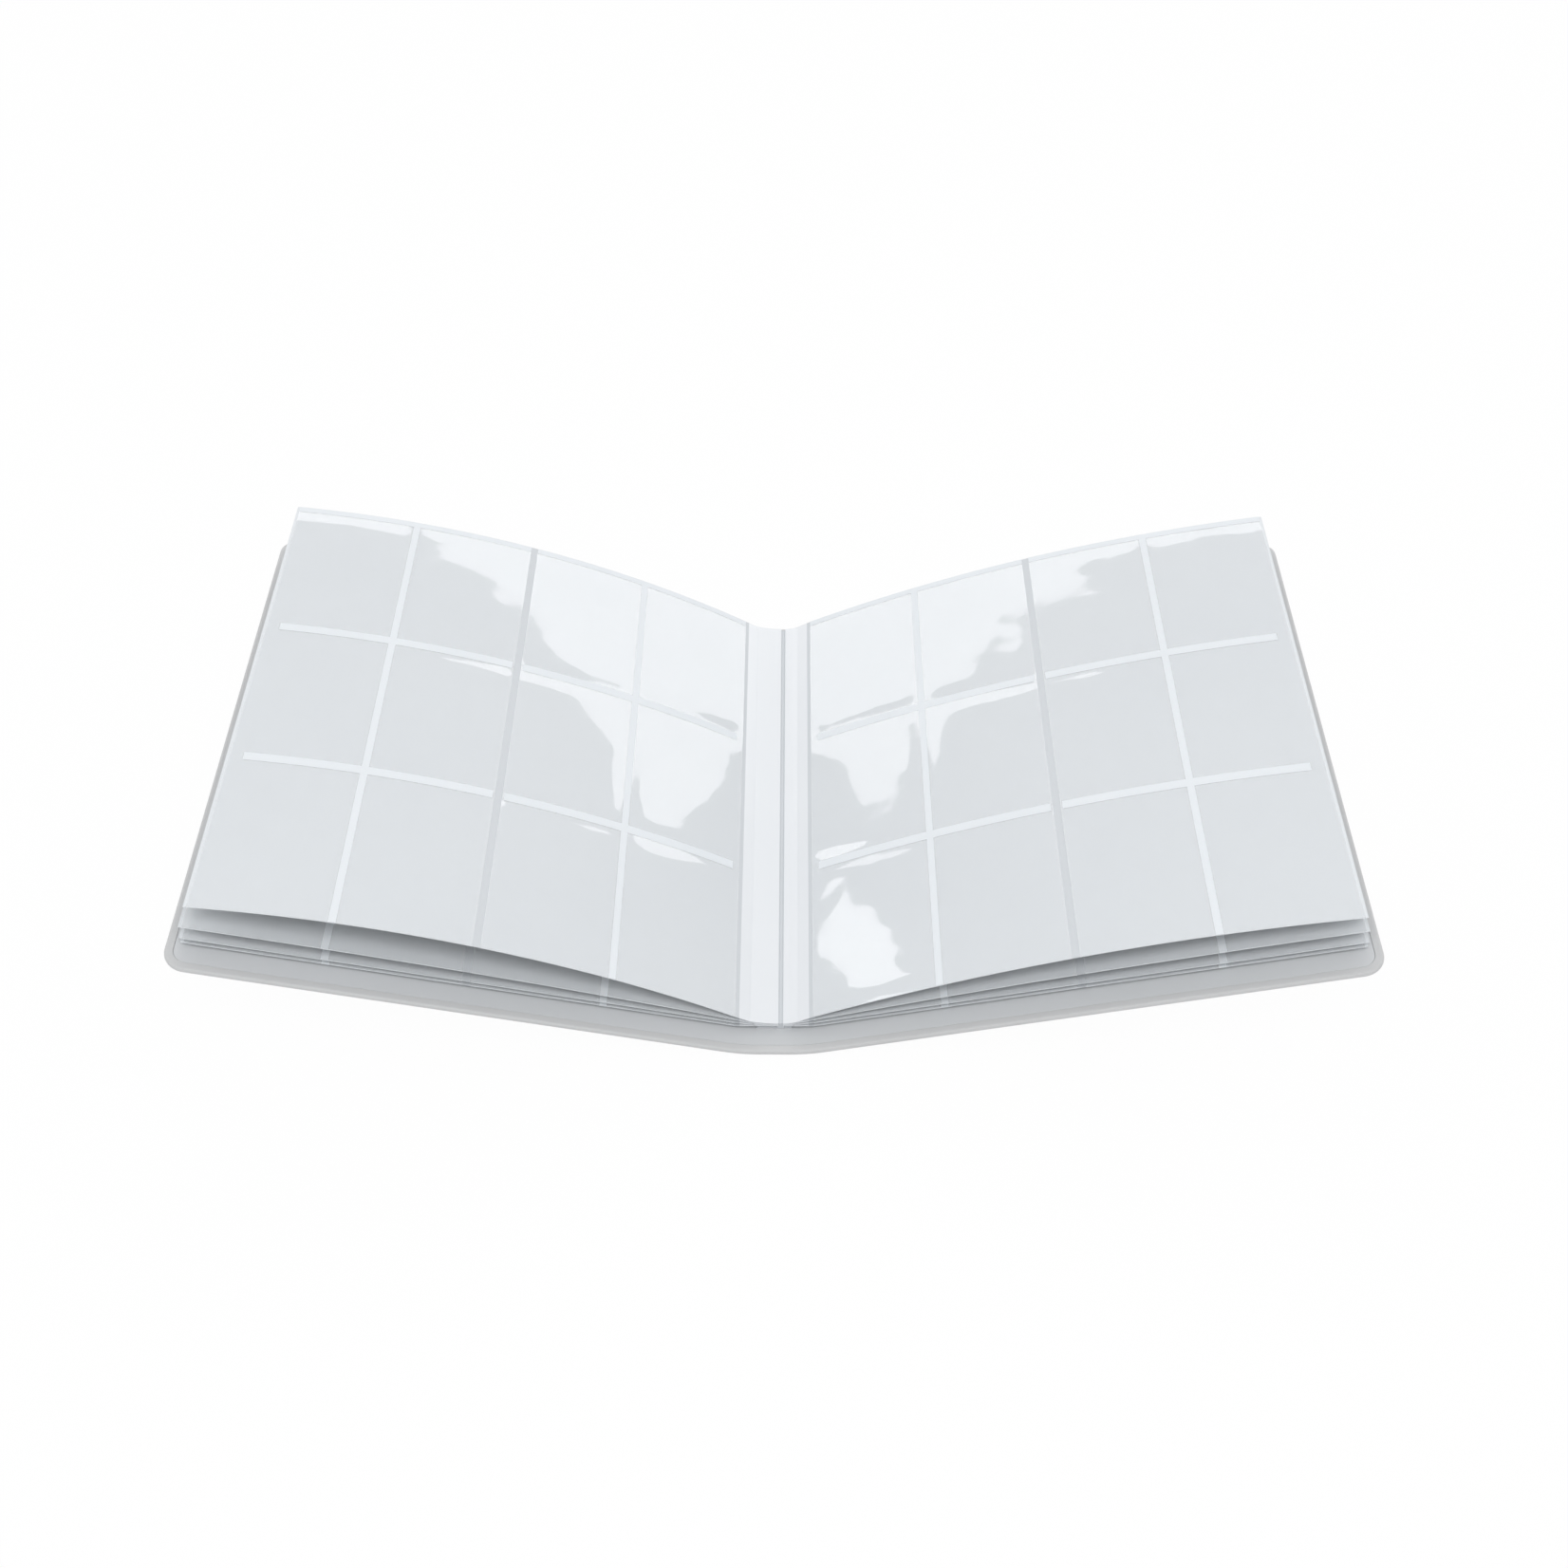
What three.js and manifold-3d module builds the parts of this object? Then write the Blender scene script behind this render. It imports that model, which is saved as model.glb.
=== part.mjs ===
// Trading card album: a soft cover, a welded gutter and eight side-loading pocket leaves.
// The album lies open on its spine, with both halves raised in a shallow V.
// Millimetres. X runs from the left half to the right half, Y along the spine, Z up.
// The origin is the middle of the spine's underside.

import * as THREE from 'three';
import { mergeVertices } from 'three/addons/utils/BufferGeometryUtils.js';
import Module from 'manifold-3d';

const wasm = await Module();
wasm.setup();

// Pockets: each holds one sleeved card, and a fused line parts it from the next.
const pocketWidth = 66.5;
const pocketHeight = 93;
const weldWidth = 3;
const rowsPerPage = 3;
const columnsPerFilm = 2;
const filmsPerPage = 2;
const gutterWeldStop = 4;
const middleWeldStop = 1;
const outerWeldStop = 7;
const weldSlope = 1.7;
const pocketLift = 0.2;

// Leaf sheets. They lie a little towards the far end of the cover.
const pageShift = 3.4;
const nearWeldMargin = 2;
const farWeldMargin = 4;
const gutterOverCrease = 2.7;
const coreThickness = 0.4;
const filmThickness = 0.1;
const filmSeat = 0.1;
const middleBreak = 4;
const filmGutterInset = 0.5;
const filmEdgeInset = 1.5;

// Stack of leaves, counted from the top one. Slopes are in degrees over the cover's own slope,
// at the gutter and at the outer edge; any leaf below those listed lies as the cover does.
const leavesPerSide = 4;
const leafPitch = 2.7;
const creasePitch = 1.3;
const lowestLeafClearance = 3.6;
const leafCreaseInset = 7;
const creaseStart = 0.2;
const creaseSetBack = 0.7;
const leafLean = {
  left: [[16.9, -7.9], [3.7, -0.7], [0.4, -0.1]],
  right: [[11.7, -5.1], [3.7, -0.7], [0.4, -0.1]],
};
const restingLean = [0.1, -0.1];

// Cover
const coverThickness = 3.3;
const coverSlope = 14.7;
const spineWidth = 34;
const coverOverhang = 8.3;
const coverMargin = 10;
const cornerRadius = 11;
const edgeRound = 1;
const skinFloor = 0.8;
const boardThickness = 1.3;
const liningThickness = 0.8;
const rimWidth = 4;
const hingeWall = 2.5;
const hingeGap = 0.2;
const seat = 0.2;
const tuckGap = 0.3;
const closingAngle = 67;

// Welded rib that holds the folds of the leaves on the spine. Its web stands right of the middle.
const ribFootMargin = 1.7;
const ribFootThickness = 0.8;
const ribWebHalfWidth = 1.4;
const weldOffset = 3;
const foldRootPitch = 1;
const foldThickness = 0.8;
const foldClearance = 1;
const foldCreaseGap = 0.3;
const grooveHalfWidth = 0.9;
const grooveDepth = 0.5;

// Facets of the rounds, and how near a point counts as on a bend line
const cornerSegments = 6;
const edgeSegments = 2;
const bendTolerance = 1e-6;

const columnPitch = pocketWidth + weldWidth;
const rowPitch = pocketHeight + weldWidth;
const bendPitch = columnPitch / 2;
const filmPitch = columnsPerFilm * columnPitch;
const leafReach = filmsPerPage * filmPitch;
const leafHeight = rowsPerPage * rowPitch + nearWeldMargin + farWeldMargin;
const nearEdge = pageShift - leafHeight / 2;
const hingeHalfSpacing = spineWidth / 2;
const creaseHalfSpacing = hingeHalfSpacing - leafCreaseInset;
const gutterHalfWidth = hingeHalfSpacing + gutterOverCrease;
const lowestLeafLevel = coverThickness + lowestLeafClearance;
const coverReach = gutterOverCrease + leafReach + coverOverhang;
const coverHeight = leafHeight + 2 * coverMargin;
const trayStart = coverThickness + hingeGap + hingeWall;
const trayHeight = coverHeight - 2 * rimWidth;
const trayRadius = cornerRadius - rimWidth;
const spineTrayHalfWidth = hingeHalfSpacing - trayStart;
const spineInsertHalfWidth = spineTrayHalfWidth - tuckGap;
const ribFootHalfWidth = spineInsertHalfWidth - ribFootMargin;

const skinMaterial = finish('#d3d6d8', 0.6);
const boardMaterial = finish('#b9b3a6', 0.95);
const liningMaterial = finish('#dfe2e3', 0.7);
const ribMaterial = finish('#eceff1', 0.5);
const coreMaterial = finish('#e4e8eb', 0.7);
const filmMaterial = finish('#f2f6f9', 0.15);

function finish(color, roughness) {
  return new THREE.MeshStandardMaterial({ color, roughness, metalness: 0 });
}

// Solids and cuts

function toSolid(geometry) {
  const bare = geometry.clone();
  bare.deleteAttribute('normal');
  bare.deleteAttribute('uv');
  const merged = mergeVertices(bare);
  return new wasm.Manifold(new wasm.Mesh({
    numProp: 3,
    vertProperties: new Float32Array(merged.attributes.position.array),
    triVerts: new Uint32Array(merged.index.array),
  }));
}

function toGeometry(solid) {
  const mesh = solid.getMesh();
  const geometry = new THREE.BufferGeometry();
  geometry.setAttribute('position', new THREE.BufferAttribute(mesh.vertProperties, 3));
  geometry.setIndex(new THREE.BufferAttribute(mesh.triVerts, 1));
  geometry.computeVertexNormals();
  return geometry;
}

function cut(geometry, ...cutters) {
  let solid = toSolid(geometry);
  for (const cutter of cutters) {
    solid = solid.subtract(toSolid(cutter));
  }
  return toGeometry(solid);
}

function named(name, geometry, material) {
  const mesh = new THREE.Mesh(geometry, material);
  mesh.name = name;
  return mesh;
}

// A section drawn in X and Z, drawn out along Y from one end to the other.
function drawAlongSpine(points, yStart, yEnd) {
  const section = new THREE.Shape(points.map(([x, z]) => new THREE.Vector2(x, z)));
  const geometry = new THREE.ExtrudeGeometry(section, { depth: yEnd - yStart, bevelEnabled: false });
  geometry.rotateX(Math.PI / 2);
  geometry.translate(0, yEnd, 0);
  return geometry;
}

// A flat sheet outline from xInner to xOuter whose outer corners are round.
function sheetOutline(xInner, xOuter, halfHeight, radius) {
  const side = Math.sign(xOuter - xInner);
  const xArc = xOuter - side * radius;
  const yArc = halfHeight - radius;
  const outline = new THREE.Shape();
  outline.moveTo(xInner, -halfHeight);
  outline.lineTo(xArc, -halfHeight);
  const outward = side > 0 ? 0 : Math.PI;
  outline.absarc(xArc, -yArc, radius, -Math.PI / 2, side > 0 ? outward : -outward, side < 0);
  outline.absarc(xArc, yArc, radius, outward, Math.PI / 2, side < 0);
  outline.lineTo(xInner, halfHeight);
  outline.closePath();
  return outline;
}

function stripOutline(halfWidth, halfHeight) {
  return new THREE.Shape([
    new THREE.Vector2(-halfWidth, -halfHeight),
    new THREE.Vector2(halfWidth, -halfHeight),
    new THREE.Vector2(halfWidth, halfHeight),
    new THREE.Vector2(-halfWidth, halfHeight),
  ]);
}

function flatSheet(outline, zBottom, thickness) {
  const geometry = new THREE.ExtrudeGeometry(outline, {
    depth: thickness, bevelEnabled: false, curveSegments: cornerSegments,
  });
  geometry.translate(0, 0, zBottom);
  return geometry;
}

function roundedSheet(outline, thickness, round) {
  const geometry = new THREE.ExtrudeGeometry(outline, {
    depth: thickness - 2 * round,
    bevelThickness: round,
    bevelSize: round,
    bevelOffset: -round,
    bevelSegments: edgeSegments,
    curveSegments: cornerSegments,
  });
  geometry.translate(0, 0, round);
  return geometry;
}

// Cover. Its edges at a crease are mitred, so that a half can fold up square to the spine.

function mitreCutter(side, hingeX) {
  const below = -edgeRound;
  const above = coverThickness + edgeRound;
  const clear = hingeX - side * 2 * coverThickness;
  return drawAlongSpine([
    [clear, below],
    [hingeX + side * (below + hingeGap), below],
    [hingeX + side * (above + hingeGap), above],
    [clear, above],
  ], -coverHeight, coverHeight);
}

function coverHalf(name, side) {
  const half = new THREE.Group();
  const trayEnd = coverReach - rimWidth;
  const blank = roundedSheet(
    sheetOutline(-side * coverThickness, side * coverReach, coverHeight / 2, cornerRadius),
    coverThickness, edgeRound,
  );
  const tray = flatSheet(
    sheetOutline(side * trayStart, side * trayEnd, trayHeight / 2, trayRadius),
    skinFloor, coverThickness,
  );
  const insert = sheetOutline(
    side * (trayStart + tuckGap), side * (trayEnd - tuckGap), trayHeight / 2 - tuckGap, trayRadius,
  );
  const board = flatSheet(insert, skinFloor + seat, boardThickness);
  const lining = flatSheet(insert, coverThickness - liningThickness, liningThickness);
  half.add(named(`${name}_cover_skin`, cut(blank, mitreCutter(side, 0), tray), skinMaterial));
  half.add(named(`${name}_cover_board`, board, boardMaterial));
  half.add(named(`${name}_cover_lining`, lining, liningMaterial));
  half.position.x = side * hingeHalfSpacing;
  half.rotation.y = -side * THREE.MathUtils.degToRad(coverSlope);
  return half;
}

function spinePanel() {
  const spine = new THREE.Group();
  const blank = roundedSheet(
    stripOutline(hingeHalfSpacing + coverThickness, coverHeight / 2), coverThickness, edgeRound,
  );
  const tray = flatSheet(stripOutline(spineTrayHalfWidth, trayHeight / 2), skinFloor, coverThickness);
  const insert = stripOutline(spineInsertHalfWidth, trayHeight / 2 - tuckGap);
  const board = flatSheet(insert, skinFloor + seat, boardThickness);
  const lining = flatSheet(insert, coverThickness - liningThickness, liningThickness);
  const skin = cut(blank, mitreCutter(-1, hingeHalfSpacing), mitreCutter(1, -hingeHalfSpacing), tray);
  spine.add(named('spine_skin', skin, skinMaterial));
  spine.add(named('spine_board', board, boardMaterial));
  spine.add(named('spine_lining', lining, liningMaterial));
  return spine;
}

// Gutter rib: the folds of the sheets, welded to each other and to the spine's lining.

// Heights of a leaf at the gutter's edge, at its crease and at the root of its fold.
function leafLevel(count) {
  return lowestLeafLevel + (leavesPerSide - count) * leafPitch;
}

function creaseLevel(count) {
  return lowestLeafLevel + (leavesPerSide - count) * creasePitch;
}

function foldRootLevel(count) {
  return lowestLeafLevel + (leavesPerSide - count) * foldRootPitch;
}

function leafInset(count) {
  return creaseHalfSpacing + creaseStart + (leavesPerSide - count) * creaseSetBack;
}

// How near the middle a leaf's inner end comes when its half closes about the lowest crease.
function closedInset(count) {
  const turn = THREE.MathUtils.degToRad(closingAngle);
  const out = leafInset(count) - creaseHalfSpacing;
  const up = creaseLevel(count) - lowestLeafLevel;
  return creaseHalfSpacing + out * Math.cos(turn) - up * Math.sin(turn);
}

// The lowest fold reaches the crease of its leaf. The others end clear of the leaf above them.
function foldHalfWidth(count) {
  if (count === leavesPerSide) return creaseHalfSpacing - foldCreaseGap;
  return closedInset(Math.max(1, count - 1)) - foldClearance;
}

// One flank of the rib, from its foot up to the groove. Each fold rises from the web to its leaf.
function ribFlank(side) {
  const web = weldOffset + side * ribWebHalfWidth;
  const foot = side * ribFootHalfWidth;
  const footTop = coverThickness + ribFootThickness;
  const flank = [[foot, coverThickness], [foot, footTop]];
  let below = footTop;
  for (let count = leavesPerSide; count >= 1; count -= 1) {
    const root = foldRootLevel(count);
    const tip = side * foldHalfWidth(count);
    const share = (tip - web) / (side * leafInset(count) - web);
    const end = root + share * (creaseLevel(count) - root);
    flank.push([web, below], [web, root - foldThickness / 2]);
    flank.push([tip, end - foldThickness / 2], [tip, end + foldThickness / 2]);
    below = root + foldThickness / 2;
  }
  flank.push([web, below]);
  return flank;
}

function ribSection() {
  const top = foldRootLevel(1) + foldThickness / 2;
  const groove = [
    [weldOffset + grooveHalfWidth, top], [weldOffset, top - grooveDepth],
    [weldOffset - grooveHalfWidth, top],
  ];
  return [...ribFlank(1), ...groove, ...ribFlank(-1).reverse()];
}

function foldRib() {
  const geometry = drawAlongSpine(ribSection(), nearEdge, nearEdge + leafHeight);
  return named('welded_fold_rib', geometry, ribMaterial);
}

// Leaves. A leaf's section is a run of short flats: a margin that rises from its crease to the
// gutter's edge, then flats whose slope changes evenly up to the outer edge.

function leafPath(count, [leanIn, leanOut]) {
  const flats = Math.round(leafReach / bendPitch);
  const inner = { x: leafInset(count), z: creaseLevel(count) };
  const margin = Math.hypot(gutterHalfWidth - inner.x, leafLevel(count) - inner.z);
  const stations = [
    { s: -margin, ...inner },
    { s: 0, x: gutterHalfWidth, z: leafLevel(count) },
  ];
  for (let index = 0; index < flats; index += 1) {
    const last = stations[stations.length - 1];
    const share = (index + 0.5) / flats;
    const slope = THREE.MathUtils.degToRad(coverSlope + leanIn + (leanOut - leanIn) * share);
    stations.push({
      s: last.s + bendPitch,
      x: last.x + bendPitch * Math.cos(slope),
      z: last.z + bendPitch * Math.sin(slope),
    });
  }
  return stations;
}

function flatIndexAt(path, s) {
  const ahead = path.findIndex((station) => station.s > s + bendTolerance);
  return ahead < 0 ? path.length - 2 : Math.max(0, ahead - 1);
}

function flatNormal(path, index) {
  const from = path[index];
  const to = path[index + 1];
  return new THREE.Vector2(from.z - to.z, to.x - from.x).normalize();
}

// Square to a flat, or along the mitre of two flats where s is on their bend line.
function normalAt(path, index, s) {
  const normal = flatNormal(path, index);
  if (index === 0 || Math.abs(s - path[index].s) > bendTolerance) return normal;
  const before = flatNormal(path, index - 1);
  const spread = 1 + normal.dot(before);
  return normal.add(before).divideScalar(spread);
}

// The point at distance s along a leaf's section and at a height off its middle surface.
function pointOnLeaf(path, s, height) {
  const index = flatIndexAt(path, s);
  const from = path[index];
  const to = path[index + 1];
  const share = (s - from.s) / (to.s - from.s);
  const normal = normalAt(path, index, s);
  return [
    from.x + share * (to.x - from.x) + normal.x * height,
    from.z + share * (to.z - from.z) + normal.y * height,
  ];
}

function coreSheet(path, side) {
  const top = path.map(({ s }) => pointOnLeaf(path, s, coreThickness / 2));
  const bottom = path.map(({ s }) => pointOnLeaf(path, s, -coreThickness / 2)).reverse();
  const section = [...top, ...bottom].map(([x, z]) => [side * x, z]);
  return drawAlongSpine(section, nearEdge, nearEdge + leafHeight);
}

// Lines across a film, from its edge on the gutter side to its edge on the outer side. Both
// edges are open, so that a card slides in from there.
function filmColumnLines(filmIndex) {
  const start = filmIndex * filmPitch;
  const end = start + filmPitch;
  const isInner = filmIndex === 0;
  const isOuter = filmIndex === filmsPerPage - 1;
  const first = start + (isInner ? filmGutterInset : middleBreak / 2);
  const last = end - (isOuter ? filmEdgeInset : middleBreak / 2);
  const firstStop = isInner ? gutterWeldStop : middleWeldStop;
  const lastStop = isOuter ? outerWeldStop : middleWeldStop;
  const lines = [{ at: first, open: true }, { at: first + firstStop }];
  for (let column = 1; column < columnsPerFilm; column += 1) {
    const weld = start + column * columnPitch;
    lines.push({ at: weld - bendPitch }, { at: weld - weldSlope });
    lines.push({ at: weld, fused: true }, { at: weld + weldSlope });
  }
  lines.push({ at: end - bendPitch }, { at: last - lastStop }, { at: last, open: true });
  return lines;
}

// Lines along a film, from the near edge to the far edge, which are both fused.
function filmRowLines() {
  const farEdge = nearEdge + leafHeight;
  const lines = [{ at: nearEdge, edge: true }, { at: nearEdge + nearWeldMargin }];
  for (let row = 1; row < rowsPerPage; row += 1) {
    const weld = nearEdge + nearWeldMargin + row * rowPitch;
    lines.push({ at: weld - weldSlope }, { at: weld, fused: true }, { at: weld + weldSlope });
  }
  lines.push({ at: farEdge - farWeldMargin }, { at: farEdge, edge: true });
  return lines;
}

// A film lies on its sheet along the fused lines and stands off it over the pockets. A fused
// row stops short of the film's open edges.
function filmLift(column, row) {
  const isFused = row.edge || column.fused || (row.fused && !column.open);
  return isFused ? 0 : pocketLift;
}

function turnInsideOut(geometry) {
  const index = geometry.index;
  for (let corner = 0; corner < index.count; corner += 3) {
    const kept = index.getX(corner);
    index.setX(corner, index.getX(corner + 1));
    index.setX(corner + 1, kept);
  }
}

function pocketFilm(path, side, face, filmIndex) {
  const columns = filmColumnLines(filmIndex);
  const rows = filmRowLines();
  const width = columns.length - 1;
  const length = rows.length - 1;
  const geometry = new THREE.BoxGeometry(width, length, 1, width, length, 1);
  const position = geometry.attributes.position;
  for (let index = 0; index < position.count; index += 1) {
    const column = columns[Math.round(position.getX(index) + width / 2)];
    const row = rows[Math.round(position.getY(index) + length / 2)];
    const skin = position.getZ(index) > 0 ? filmThickness : 0;
    const height = face * (coreThickness / 2 + filmSeat + filmLift(column, row) + skin);
    const [x, z] = pointOnLeaf(path, column.at, height);
    position.setXYZ(index, side * x, row.at, z);
  }
  if (side * face < 0) turnInsideOut(geometry);
  geometry.computeVertexNormals();
  return geometry;
}

function pocketLeaf(name, side, count) {
  const leaf = new THREE.Group();
  const path = leafPath(count, leafLean[name][count - 1] ?? restingLean);
  const prefix = `${name}_leaf_${count}`;
  leaf.add(named(`${prefix}_core_sheet`, coreSheet(path, side), coreMaterial));
  for (const [faceName, face] of [['front', 1], ['back', -1]]) {
    for (const [placeName, filmIndex] of [['inner', 0], ['outer', 1]]) {
      const film = pocketFilm(path, side, face, filmIndex);
      leaf.add(named(`${prefix}_${faceName}_${placeName}_film`, film, filmMaterial));
    }
  }
  return leaf;
}

const album = new THREE.Group();
album.add(spinePanel(), foldRib());
for (const [name, side] of [['left', -1], ['right', 1]]) {
  album.add(coverHalf(name, side));
  for (let count = 1; count <= leavesPerSide; count += 1) {
    album.add(pocketLeaf(name, side, count));
  }
}

export default album;
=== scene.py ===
"""Looks of the trading card album: its soft cover, welded gutter and pocket leaves."""

import logging
import math
from bisect import bisect_right
from collections.abc import Callable, Iterable
from dataclasses import dataclass, field
from enum import Enum

import bmesh
import bpy
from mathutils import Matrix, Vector, noise


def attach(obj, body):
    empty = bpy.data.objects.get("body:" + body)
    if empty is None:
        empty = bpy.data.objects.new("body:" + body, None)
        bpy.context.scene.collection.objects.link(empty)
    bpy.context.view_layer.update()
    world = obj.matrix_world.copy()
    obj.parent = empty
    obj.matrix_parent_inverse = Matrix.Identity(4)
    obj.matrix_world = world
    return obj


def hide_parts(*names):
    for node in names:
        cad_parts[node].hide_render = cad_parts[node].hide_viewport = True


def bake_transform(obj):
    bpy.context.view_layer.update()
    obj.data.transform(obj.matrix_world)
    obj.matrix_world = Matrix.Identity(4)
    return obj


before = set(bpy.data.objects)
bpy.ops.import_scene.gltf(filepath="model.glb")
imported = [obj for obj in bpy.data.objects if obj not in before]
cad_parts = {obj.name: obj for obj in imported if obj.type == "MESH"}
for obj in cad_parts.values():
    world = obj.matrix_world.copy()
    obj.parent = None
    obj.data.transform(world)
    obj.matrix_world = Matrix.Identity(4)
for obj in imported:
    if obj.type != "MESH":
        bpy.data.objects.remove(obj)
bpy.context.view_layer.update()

MM = 0.001
# Two heights closer than this are one level, and a cut this near to a vertex takes it, in mm.
SAME_LEVEL = 1e-4
CUT_TOLERANCE = 1e-5
# Faces of a thick piece, and those of a sheet, that meet at more than this have a hard edge.
SOLID_CREASE_DEG = 35.0
SHEET_CREASE_DEG = 50.0
log = logging.getLogger("album")

Placer = Callable[[Vector], Vector]


class Side(Enum):
    """The two halves of the open album."""

    LEFT = "left"
    RIGHT = "right"

    @property
    def sign(self) -> int:
        """The direction along X that leads from the spine to the half's outer edge."""
        return -1 if self is Side.LEFT else 1


class Face(Enum):
    """The two faces of a leaf."""

    FRONT = "front"
    BACK = "back"

    @property
    def sign(self) -> int:
        """The direction off the leaf's middle surface, upwards or downwards."""
        return 1 if self is Face.FRONT else -1


class SheetFinish(Enum):
    """The finishes of a leaf's white sheet, by their place among its materials."""

    UNDER_FILM = 0
    PRESSED = 1
    # The third finish is painted shade: a greyer copy of the sheet's colour where no film covers
    # it.
    SHADED_BARE = 2


class WebFinish(Enum):
    """The finishes of the gutter's web, by their place among its materials."""

    FOLD = 0
    FOOT = 1
    # The groove's finish is painted shade: the greyer copy of the white sheet darkens the weld
    # line.
    SHADED_GROOVE = 2


class Strip(Enum):
    """The two films on a face of a leaf, each with two columns of pockets."""

    INNER = "inner"
    OUTER = "outer"

    @property
    def index(self) -> int:
        """The strip's place, counted from the gutter."""
        return 0 if self is Strip.INNER else 1


# Small helpers


def linear(colour: str) -> tuple[float, float, float, float]:
    """Turns an sRGB hex colour into linear values, by the curve that defines sRGB.

    Args:
        colour: Six hex digits after a hash sign.

    Returns:
        Red, green, blue and an alpha of 1.
    """
    values = [int(colour[place:place + 2], 16) / 255 for place in (1, 3, 5)]
    red, green, blue = (
        value / 12.92 if value <= 0.04045 else ((value + 0.055) / 1.055) ** 2.4
        for value in values
    )
    return red, green, blue, 1.0


def ease(value: float) -> float:
    """Returns a smooth step from 0 to 1 as value goes from 0 to 1."""
    share = min(1.0, max(0.0, value))
    return share * share * (3 - 2 * share)


def even_steps(start: float, end: float, longest: float) -> list[float]:
    """Splits a stretch into equal steps.

    Args:
        start: Where the stretch begins.
        end: Where it ends.
        longest: The longest step allowed.

    Returns:
        The places from start up to, but without, end.
    """
    count = max(1, math.ceil((end - start) / longest))
    return [start + (end - start) * step / count for step in range(count)]


def filled_lines(lines: Iterable[float], longest: float) -> list[float]:
    """Adds lines between the given ones, so that none are further apart than allowed.

    Args:
        lines: The lines that must be there.
        longest: The longest distance between two lines.

    Returns:
        All the lines, in order.
    """
    ordered = sorted(lines)
    filled: list[float] = []
    for start, end in zip(ordered, ordered[1:]):
        filled += even_steps(start, end, longest)
    return [*filled, ordered[-1]]


def add_node(
    tree: bpy.types.NodeTree, kind: str, settings: dict | None = None, inputs: dict | None = None
) -> bpy.types.Node:
    """Adds one node with its settings and links.

    Args:
        tree: The node tree that gets it.
        kind: The node's type name.
        settings: Attributes to set on the node.
        inputs: A value or an output socket for each input, by the input's name or number.

    Returns:
        The new node.
    """
    node = tree.nodes.new(kind)
    for name, value in (settings or {}).items():
        setattr(node, name, value)
    for name, value in (inputs or {}).items():
        if isinstance(value, bpy.types.NodeSocket):
            tree.links.new(value, node.inputs[name])
        else:
            node.inputs[name].default_value = value
    return node


def looked_at(tree: bpy.types.NodeTree) -> bpy.types.NodeSocket:
    """Tells rays that show a surface from those that light another one.

    Args:
        tree: The nodes that need it.

    Returns:
        1 for a ray from the camera, a mirror or clear film, and 0 for the others.
    """
    path = add_node(tree, "ShaderNodeLightPath")
    seen = add_node(
        tree, "ShaderNodeMath", {"operation": "MAXIMUM"},
        {0: path.outputs["Is Camera Ray"], 1: path.outputs["Is Glossy Ray"]},
    )
    shown = add_node(
        tree, "ShaderNodeMath", {"operation": "MAXIMUM"},
        {0: seen.outputs[0], 1: path.outputs["Is Transmission Ray"]},
    )
    return shown.outputs[0]


def blank_grid(columns: list[float], rows: list[float]) -> bmesh.types.BMesh:
    """Makes a flat grid whose lines lie where they are asked for.

    Args:
        columns: The X of each line across the grid, in mm.
        rows: The Y of each line along it, in mm.

    Returns:
        The flat sheet, facing up.
    """
    bm = bmesh.new()
    bmesh.ops.create_grid(bm, x_segments=len(columns) - 1, y_segments=len(rows) - 1, size=1.0)
    for vert in bm.verts:
        column = round((vert.co.x + 1) / 2 * (len(columns) - 1))
        row = round((vert.co.y + 1) / 2 * (len(rows) - 1))
        vert.co = Vector((columns[column], rows[row], 0))
    return bm


def thicken(bm: bmesh.types.BMesh, bottom: float, top: float) -> None:
    """Gives a flat sheet its thickness.

    Args:
        bm: The flat sheet, at a height of 0.
        bottom: The height of its lower face, in mm.
        top: The height of its upper face, in mm.
    """
    upper = bmesh.ops.extrude_face_region(bm, geom=bm.faces[:])["geom"]
    raised = {item for item in upper if isinstance(item, bmesh.types.BMVert)}
    for vert in bm.verts:
        vert.co.z = top if vert in raised else bottom
    bmesh.ops.recalc_face_normals(bm, faces=bm.faces[:])


def place_all(bm: bmesh.types.BMesh, place: Placer) -> None:
    """Moves each vertex of a flat blank to its place on the object.

    Args:
        bm: The blank, in mm.
        place: Gives a vertex's place, in mm.
    """
    for vert in bm.verts:
        vert.co = place(vert.co) * MM
    bmesh.ops.recalc_face_normals(bm, faces=bm.faces[:])


def finished_piece(
    name: str, bm: bmesh.types.BMesh, materials: list[bpy.types.Material],
    crease_deg: float = SOLID_CREASE_DEG,
) -> bpy.types.Object:
    """Turns a finished bmesh into an object at the origin.

    Args:
        name: The piece's name.
        bm: Its mesh, in metres. It is freed here.
        materials: Its materials, in the order of the faces' numbers.
        crease_deg: Faces that meet at more than this angle are shaded with a hard edge.

    Returns:
        The new object.
    """
    mesh = bpy.data.meshes.new(name)
    bm.to_mesh(mesh)
    bm.free()
    for material in materials:
        mesh.materials.append(material)
    mesh.shade_smooth()
    mesh.set_sharp_from_angle(angle=math.radians(crease_deg))
    piece = bpy.data.objects.new(name, mesh)
    bpy.context.scene.collection.objects.link(piece)
    log.info("%s: %d faces", name, len(mesh.polygons))
    return piece


# Finishes


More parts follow.
